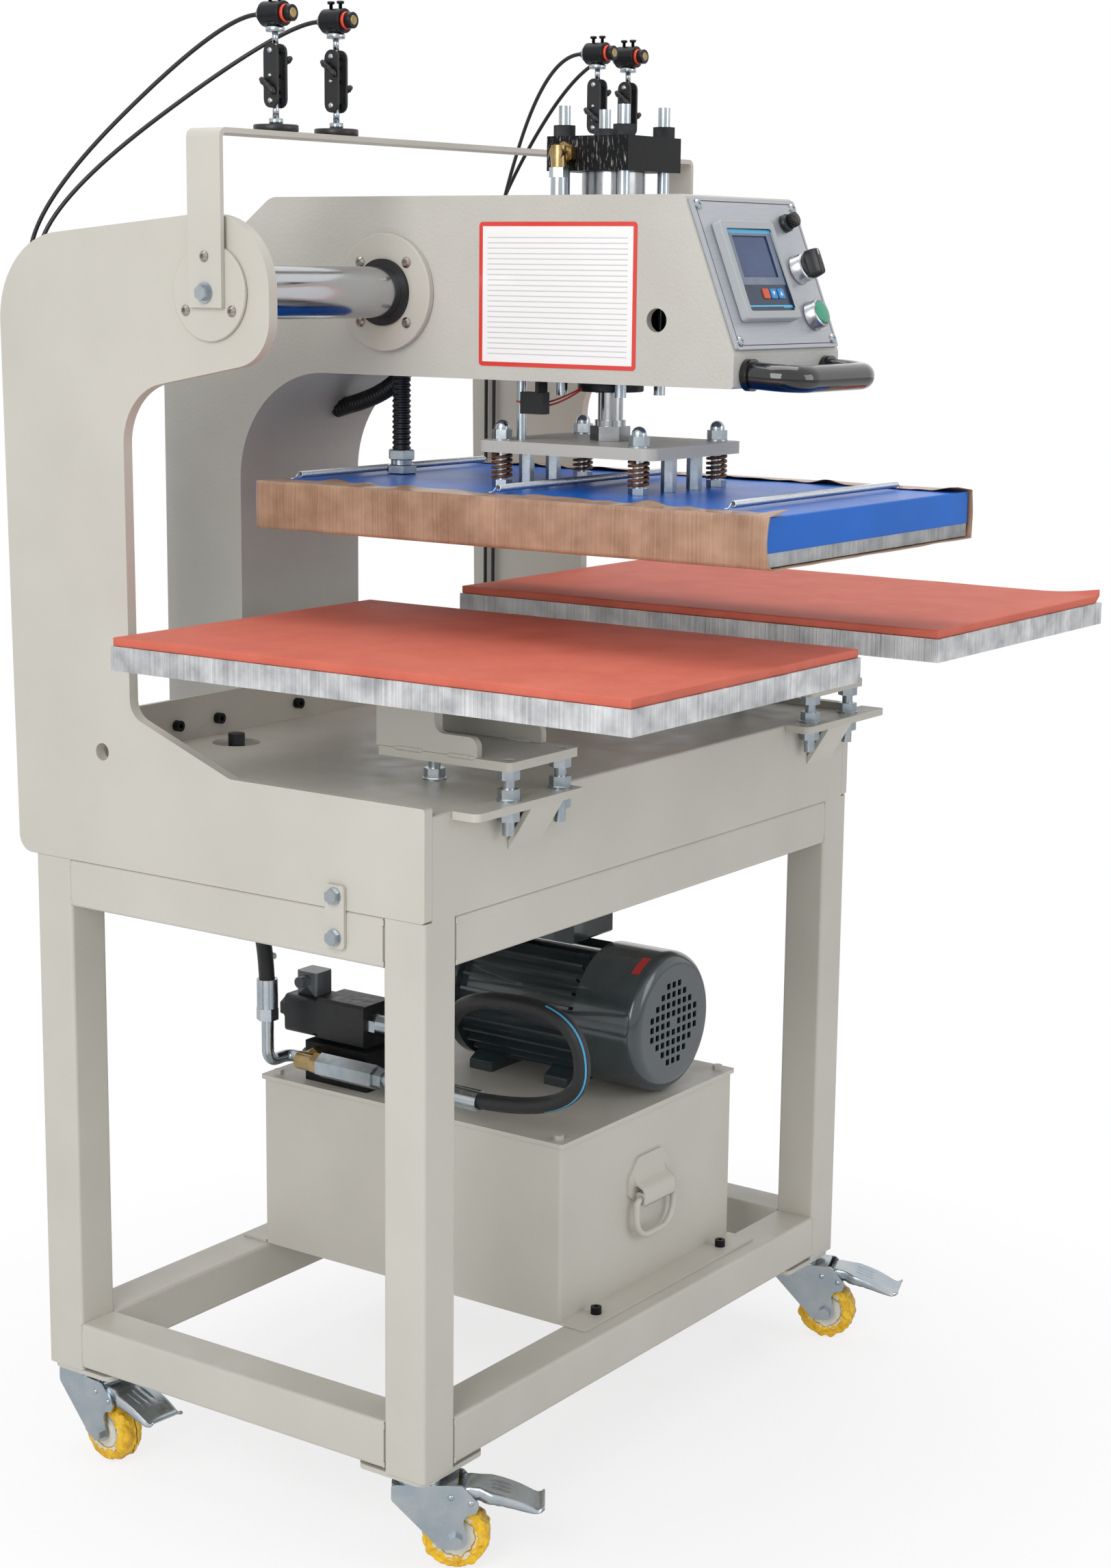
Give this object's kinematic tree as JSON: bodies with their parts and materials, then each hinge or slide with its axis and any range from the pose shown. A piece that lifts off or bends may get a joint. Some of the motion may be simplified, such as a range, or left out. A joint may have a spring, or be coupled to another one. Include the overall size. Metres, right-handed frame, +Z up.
{
  "type": "hydraulic heat press",
  "caption": "Two-station heat press: a C-frame press head slides along a shaft over twin padded tables on a wheeled stand with a power unit.",
  "frame": {"origin": "floor point under the middle of the whole machine", "axes": "+X to the user's right along the slide shaft, +Y away from the user, +Z up"},
  "size_m": [0.962, 0.846, 1.533],
  "materials": {
    "cream_paint": "satin powder coat",
    "grey_paint": "gloss enamel",
    "blue_paint": "satin paint",
    "steel": "ground steel",
    "zinc": "bright zinc plate",
    "chrome": "hard chrome",
    "aluminium": "sawn",
    "panel_aluminium": "brushed",
    "silicone": "matt sponge",
    "black_rubber": "matt",
    "black_plastic": "fine grain",
    "black_gloss": "polished",
    "grey_plastic": "fine grain",
    "green_plastic": "polished",
    "black_oxide": "black oxide",
    "spring_brown": "enamel",
    "glass_cloth": "coated glass cloth",
    "yellow_tread": "film over rubber"
  },
  "bodies": {
    "stand": {"stand_frame": "cream_paint", "tray": "cream_paint", "tray_brackets": "cream_paint", "side_plate_left": "cream_paint", "side_plate_right": "cream_paint", "back_wall": "cream_paint", "slide_shaft": "chrome", "shaft_end_caps": "cream_paint", "laser_bar": "cream_paint", "frame_screws": "zinc", "pedestals": "cream_paint", "levelling_studs": "zinc", "work_tables": "aluminium", "silicone_pads": "silicone", "oil_tank": "cream_paint", "tank_lid": "cream_paint", "motor": "grey_paint", "motor_cowl": "grey_paint", "manifold": "black_oxide", "solenoid_valve": "black_plastic", "pipe_fittings": "zinc", "hydraulic_hoses": "black_rubber", "caster_plates": "cream_paint", "laser_pointers": "black_plastic", "laser_cables": "black_rubber"},
    "head": {"press_arm": "cream_paint", "shaft_flanges": "cream_paint", "control_panel": "panel_aluminium", "switch_bezels": "zinc", "controller": "grey_plastic", "pull_handle": "black_gloss", "cylinder_caps": "black_oxide", "cylinder_barrel": "steel", "tie_rods_and_feed": "zinc"},
    "platen": {"piston_rod": "chrome", "pressure_plate": "cream_paint", "platen_studs": "zinc", "die_springs": "spring_brown", "heater_cover": "blue_paint", "heater_plate": "aluminium", "release_sheet": "glass_cloth", "extension_springs": "zinc", "heater_conduit": "black_plastic"},
    "selector": {"selector_knob": "black_plastic"},
    "button": {"start_button": "green_plastic"},
    "bail": {"tank_bail": "cream_paint"},
    "fan": {"motor_fan": "black_plastic"},
    "caster_front_left": {"caster_fork_front_left": "zinc"},
    "wheel_front_left": {"caster_wheel_front_left": "yellow_tread"},
    "brake_front_left": {"caster_brake_front_left": "zinc"},
    "caster_front_right": {"caster_fork_front_right": "zinc"},
    "wheel_front_right": {"caster_wheel_front_right": "yellow_tread"},
    "brake_front_right": {"caster_brake_front_right": "zinc"},
    "caster_back_left": {"caster_fork_back_left": "zinc"},
    "wheel_back_left": {"caster_wheel_back_left": "yellow_tread"},
    "brake_back_left": {"caster_brake_back_left": "zinc"},
    "caster_back_right": {"caster_fork_back_right": "zinc"},
    "wheel_back_right": {"caster_wheel_back_right": "yellow_tread"},
    "brake_back_right": {"caster_brake_back_right": "zinc"}
  },
  "joints": [
    {"name": "head_slide", "type": "slide", "parent": "stand", "child": "head", "axis": [1, 0, 0], "range_m": [-0.2409, 0.3121]},
    {"name": "platen_press", "type": "slide", "parent": "head", "child": "platen", "axis": [0, 0, -1], "range_m": [0, 0.0891]},
    {"name": "selector_turn", "type": "hinge", "parent": "head", "child": "selector", "pos_m": [0.0129, -0.28579, 1.2766], "axis": [0, -0.9285, 0.3714], "range_deg": [-45, 45]},
    {"name": "button_press", "type": "slide", "parent": "head", "child": "button", "axis": [0, 0.9285, -0.3714], "range_m": [0, 0.0035], "stiffness_N_per_m": 600, "springref_m": -0.002},
    {"name": "bail_swing", "type": "hinge", "parent": "stand", "child": "bail", "pos_m": [0.057, -0.109, 0.262], "axis": [-1, 0, 0], "range_deg": [0, 90]},
    {"name": "fan_spin", "type": "hinge", "parent": "stand", "child": "fan", "pos_m": [0.112, -0.024, 0.444], "axis": [0, 1, 0], "continuous": true},
    {"name": "swivel_front_left", "type": "hinge", "parent": "stand", "child": "caster_front_left", "pos_m": [-0.387, -0.1215, 0.095], "axis": [0, 0, 1], "continuous": true},
    {"name": "roll_front_left", "type": "hinge", "parent": "caster_front_left", "child": "wheel_front_left", "pos_m": [-0.3652, -0.15263, 0.036], "axis": [0.8192, 0.5736, 0], "continuous": true},
    {"name": "brake_front_left", "type": "hinge", "parent": "caster_front_left", "child": "brake_front_left", "pos_m": [-0.35947, -0.16082, 0.0787], "axis": [0.8192, 0.5736, 0], "range_deg": [0, 8]},
    {"name": "swivel_front_right", "type": "hinge", "parent": "stand", "child": "caster_front_right", "pos_m": [0.361, -0.1215, 0.095], "axis": [0, 0, 1], "continuous": true},
    {"name": "roll_front_right", "type": "hinge", "parent": "caster_front_right", "child": "wheel_front_right", "pos_m": [0.374, -0.15721, 0.036], "axis": [0.9397, 0.342, 0], "continuous": true},
    {"name": "brake_front_right", "type": "hinge", "parent": "caster_front_right", "child": "brake_front_right", "pos_m": [0.37742, -0.16661, 0.0787], "axis": [0.9397, 0.342, 0], "range_deg": [0, 8]},
    {"name": "swivel_back_left", "type": "hinge", "parent": "stand", "child": "caster_back_left", "pos_m": [-0.387, 0.3335, 0.095], "axis": [0, 0, 1], "continuous": true},
    {"name": "roll_back_left", "type": "hinge", "parent": "caster_back_left", "child": "wheel_back_left", "pos_m": [-0.39031, 0.29564, 0.036], "axis": [0.9962, -0.0872, 0], "continuous": true},
    {"name": "brake_back_left", "type": "hinge", "parent": "caster_back_left", "child": "brake_back_left", "pos_m": [-0.39118, 0.28568, 0.0787], "axis": [0.9962, -0.0872, 0], "range_deg": [0, 8]},
    {"name": "swivel_back_right", "type": "hinge", "parent": "stand", "child": "caster_back_right", "pos_m": [0.361, 0.3335, 0.095], "axis": [0, 0, 1], "continuous": true},
    {"name": "roll_back_right", "type": "hinge", "parent": "caster_back_right", "child": "wheel_back_right", "pos_m": [0.37084, 0.29679, 0.036], "axis": [0.9659, 0.2588, 0], "continuous": true},
    {"name": "brake_back_right", "type": "hinge", "parent": "caster_back_right", "child": "brake_back_right", "pos_m": [0.37342, 0.28714, 0.0787], "axis": [0.9659, 0.2588, 0], "range_deg": [0, 8]}
  ]
}
